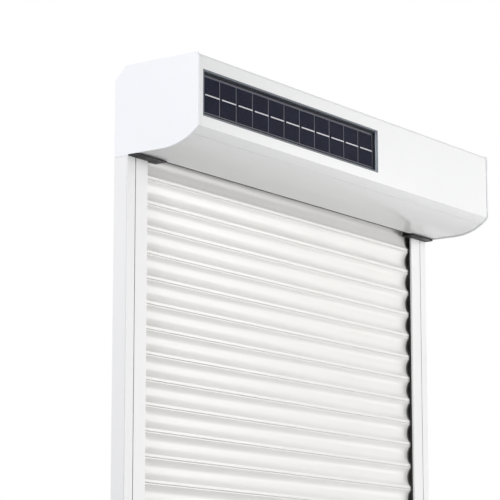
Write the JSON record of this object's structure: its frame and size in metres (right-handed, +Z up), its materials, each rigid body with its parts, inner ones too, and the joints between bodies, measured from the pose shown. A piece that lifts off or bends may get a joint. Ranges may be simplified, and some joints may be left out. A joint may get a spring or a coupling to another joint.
{
  "type": "exterior roller shutter",
  "caption": "Surface-mounted exterior roller shutter: box with solar panel and tubular motor, guide rails, and a curtain of interlocking hollow-faced slats that winds up into the box.",
  "frame": {"origin": "centre of the four corner wall-fixing holes, on the wall plane", "axes": "+X along the box to the right as seen from outside, +Y into the wall, +Z up"},
  "size_m": [0.84, 0.157, 1.164],
  "materials": {
    "panel_paint": "satin",
    "cap_paint": "satin",
    "rail_paint": "satin",
    "slat_paint": "satin",
    "black_plastic": "matte",
    "black_rubber": "matte",
    "solar_frame": "satin",
    "solar_cell": "gloss",
    "solar_glass": "gloss",
    "backsheet": "matte",
    "battery": "matte",
    "spring_steel": "satin",
    "motor_tube": "satin",
    "zinc_steel": "satin",
    "grey_nylon": "matte"
  },
  "bodies": {
    "frame": {"left_end_cap": "cap_paint", "right_end_cap": "cap_paint", "rear_top_panel": "panel_paint", "front_panel": "panel_paint", "inspection_cover": "panel_paint", "exit_slot_seal": "black_rubber", "solar_frame": "solar_frame", "solar_backsheet": "backsheet", "solar_cells": "solar_cell", "solar_glass": "solar_glass", "solar_junction_box": "black_plastic", "battery_pack": "battery", "battery_clips": "spring_steel", "tubular_motor": "motor_tube", "motor_bracket": "zinc_steel", "bracket_screws": "zinc_steel", "idler_bearing": "zinc_steel", "left_guide_rail": "rail_paint", "right_guide_rail": "rail_paint", "left_rail_cover": "rail_paint", "right_rail_cover": "rail_paint", "left_rail_lining": "black_rubber", "right_rail_lining": "black_rubber", "left_inlet_guide": "black_plastic", "right_inlet_guide": "black_plastic", "rail_end_plugs": "grey_nylon"},
    "lower_bar": {"bottom_bar": "slat_paint", "bottom_bar_seal": "black_rubber", "bottom_bar_stops": "slat_paint"},
    "shaft": {"octagonal_shaft": "zinc_steel", "motor_crown": "grey_nylon", "drive_wheel": "grey_nylon", "idler_plug": "grey_nylon", "suspension_straps": "spring_steel"},
    "slat_01_body": {"slat_01": "slat_paint"},
    "slat_02_body": {"slat_02": "slat_paint"},
    "slat_03_body": {"slat_03": "slat_paint"},
    "slat_04_body": {"slat_04": "slat_paint"},
    "slat_05_body": {"slat_05": "slat_paint"},
    "slat_06_body": {"slat_06": "slat_paint"},
    "slat_07_body": {"slat_07": "slat_paint"},
    "slat_08_body": {"slat_08": "slat_paint"},
    "slat_09_body": {"slat_09": "slat_paint"},
    "slat_10_body": {"slat_10": "slat_paint"},
    "slat_11_body": {"slat_11": "slat_paint"},
    "slat_12_body": {"slat_12": "slat_paint"},
    "slat_13_body": {"slat_13": "slat_paint"},
    "slat_14_body": {"slat_14": "slat_paint"},
    "slat_15_body": {"slat_15": "slat_paint"},
    "slat_16_body": {"slat_16": "slat_paint"},
    "slat_17_body": {"slat_17": "slat_paint"},
    "slat_18_body": {"slat_18": "slat_paint"},
    "slat_19_body": {"slat_19": "slat_paint"},
    "slat_20_body": {"slat_20": "slat_paint"},
    "slat_21_body": {"slat_21": "slat_paint"},
    "slat_22_body": {"slat_22": "slat_paint"},
    "slat_23_body": {"slat_23": "slat_paint"},
    "slat_24_body": {"slat_24": "slat_paint"},
    "slat_25_body": {"slat_25": "slat_paint"},
    "slat_26_body": {"slat_26": "slat_paint"}
  },
  "joints": [
    {"name": "curtain_lift", "type": "slide", "parent": "frame", "child": "lower_bar", "axis": [0, 0, 1], "range_m": [0, 0.986], "deforming": ["slat_01", "slat_02", "slat_03", "slat_04", "slat_05", "slat_06", "slat_07", "slat_08", "slat_09", "slat_10", "slat_11", "slat_12", "slat_13", "slat_14", "slat_15", "slat_16", "slat_17", "slat_18", "slat_19", "slat_20", "slat_21", "slat_22", "slat_23", "slat_24", "slat_25", "slat_26", "suspension_straps"]},
    {"name": "shaft_turn", "type": "hinge", "parent": "frame", "child": "shaft", "pos_m": [0, -0.078, 0.5825], "axis": [1, 0, 0], "range_deg": [0, 1442]},
    {"name": "slat_01_lift", "type": "slide", "parent": "frame", "child": "slat_01_body", "axis": [0, 0, 1], "range_m": [0, 0.988]},
    {"name": "slat_02_lift", "type": "slide", "parent": "frame", "child": "slat_02_body", "axis": [0, 0, 1], "range_m": [0, 0.9525]},
    {"name": "slat_03_lift", "type": "slide", "parent": "frame", "child": "slat_03_body", "axis": [0, 0, 1], "range_m": [0, 0.917]},
    {"name": "slat_04_lift", "type": "slide", "parent": "frame", "child": "slat_04_body", "axis": [0, 0, 1], "range_m": [0, 0.8815]},
    {"name": "slat_05_lift", "type": "slide", "parent": "frame", "child": "slat_05_body", "axis": [0, 0, 1], "range_m": [0, 0.846]},
    {"name": "slat_06_lift", "type": "slide", "parent": "frame", "child": "slat_06_body", "axis": [0, 0, 1], "range_m": [0, 0.8105]},
    {"name": "slat_07_lift", "type": "slide", "parent": "frame", "child": "slat_07_body", "axis": [0, 0, 1], "range_m": [0, 0.775]},
    {"name": "slat_08_lift", "type": "slide", "parent": "frame", "child": "slat_08_body", "axis": [0, 0, 1], "range_m": [0, 0.7395]},
    {"name": "slat_09_lift", "type": "slide", "parent": "frame", "child": "slat_09_body", "axis": [0, 0, 1], "range_m": [0, 0.704]},
    {"name": "slat_10_lift", "type": "slide", "parent": "frame", "child": "slat_10_body", "axis": [0, 0, 1], "range_m": [0, 0.6685]},
    {"name": "slat_11_lift", "type": "slide", "parent": "frame", "child": "slat_11_body", "axis": [0, 0, 1], "range_m": [0, 0.633]},
    {"name": "slat_12_lift", "type": "slide", "parent": "frame", "child": "slat_12_body", "axis": [0, 0, 1], "range_m": [0, 0.5975]},
    {"name": "slat_13_lift", "type": "slide", "parent": "frame", "child": "slat_13_body", "axis": [0, 0, 1], "range_m": [0, 0.562]},
    {"name": "slat_14_lift", "type": "slide", "parent": "frame", "child": "slat_14_body", "axis": [0, 0, 1], "range_m": [0, 0.5265]},
    {"name": "slat_15_lift", "type": "slide", "parent": "frame", "child": "slat_15_body", "axis": [0, 0, 1], "range_m": [0, 0.491]},
    {"name": "slat_16_lift", "type": "slide", "parent": "frame", "child": "slat_16_body", "axis": [0, 0, 1], "range_m": [0, 0.4555]},
    {"name": "slat_17_lift", "type": "slide", "parent": "frame", "child": "slat_17_body", "axis": [0, 0, 1], "range_m": [0, 0.42]},
    {"name": "slat_18_lift", "type": "slide", "parent": "frame", "child": "slat_18_body", "axis": [0, 0, 1], "range_m": [0, 0.3845]},
    {"name": "slat_19_lift", "type": "slide", "parent": "frame", "child": "slat_19_body", "axis": [0, 0, 1], "range_m": [0, 0.349]},
    {"name": "slat_20_lift", "type": "slide", "parent": "frame", "child": "slat_20_body", "axis": [0, 0, 1], "range_m": [0, 0.3135]},
    {"name": "slat_21_lift", "type": "slide", "parent": "frame", "child": "slat_21_body", "axis": [0, 0, 1], "range_m": [0, 0.278]},
    {"name": "slat_22_lift", "type": "slide", "parent": "frame", "child": "slat_22_body", "axis": [0, 0, 1], "range_m": [0, 0.2425]},
    {"name": "slat_23_lift", "type": "slide", "parent": "frame", "child": "slat_23_body", "axis": [0, 0, 1], "range_m": [0, 0.207]},
    {"name": "slat_24_lift", "type": "slide", "parent": "frame", "child": "slat_24_body", "axis": [0, 0, 1], "range_m": [0, 0.1715]},
    {"name": "slat_25_lift", "type": "slide", "parent": "frame", "child": "slat_25_body", "axis": [0, 0, 1], "range_m": [0, 0.136]},
    {"name": "slat_26_lift", "type": "slide", "parent": "frame", "child": "slat_26_body", "axis": [0, 0, 1], "range_m": [0, 0.1005]}
  ],
  "couplings": [
    {"joint": "shaft_turn", "follows": "curtain_lift", "rad_per_m": 25.49},
    {"joint": "slat_01_lift", "follows": "curtain_lift", "ratio": 1},
    {"joint": "slat_02_lift", "follows": "curtain_lift", "ratio": 0.964},
    {"joint": "slat_03_lift", "follows": "curtain_lift", "ratio": 0.92799},
    {"joint": "slat_04_lift", "follows": "curtain_lift", "ratio": 0.89199},
    {"joint": "slat_05_lift", "follows": "curtain_lift", "ratio": 0.85598},
    {"joint": "slat_06_lift", "follows": "curtain_lift", "ratio": 0.81998},
    {"joint": "slat_07_lift", "follows": "curtain_lift", "ratio": 0.78398},
    {"joint": "slat_08_lift", "follows": "curtain_lift", "ratio": 0.74797},
    {"joint": "slat_09_lift", "follows": "curtain_lift", "ratio": 0.71197},
    {"joint": "slat_10_lift", "follows": "curtain_lift", "ratio": 0.67596},
    {"joint": "slat_11_lift", "follows": "curtain_lift", "ratio": 0.63996},
    {"joint": "slat_12_lift", "follows": "curtain_lift", "ratio": 0.60396},
    {"joint": "slat_13_lift", "follows": "curtain_lift", "ratio": 0.56795},
    {"joint": "slat_14_lift", "follows": "curtain_lift", "ratio": 0.53195},
    {"joint": "slat_15_lift", "follows": "curtain_lift", "ratio": 0.49594},
    {"joint": "slat_16_lift", "follows": "curtain_lift", "ratio": 0.45994},
    {"joint": "slat_17_lift", "follows": "curtain_lift", "ratio": 0.42394},
    {"joint": "slat_18_lift", "follows": "curtain_lift", "ratio": 0.38793},
    {"joint": "slat_19_lift", "follows": "curtain_lift", "ratio": 0.35193},
    {"joint": "slat_20_lift", "follows": "curtain_lift", "ratio": 0.31592},
    {"joint": "slat_21_lift", "follows": "curtain_lift", "ratio": 0.27992},
    {"joint": "slat_22_lift", "follows": "curtain_lift", "ratio": 0.24391},
    {"joint": "slat_23_lift", "follows": "curtain_lift", "ratio": 0.20791},
    {"joint": "slat_24_lift", "follows": "curtain_lift", "ratio": 0.17191},
    {"joint": "slat_25_lift", "follows": "curtain_lift", "ratio": 0.1359},
    {"joint": "slat_26_lift", "follows": "curtain_lift", "ratio": 0.099899}
  ]
}
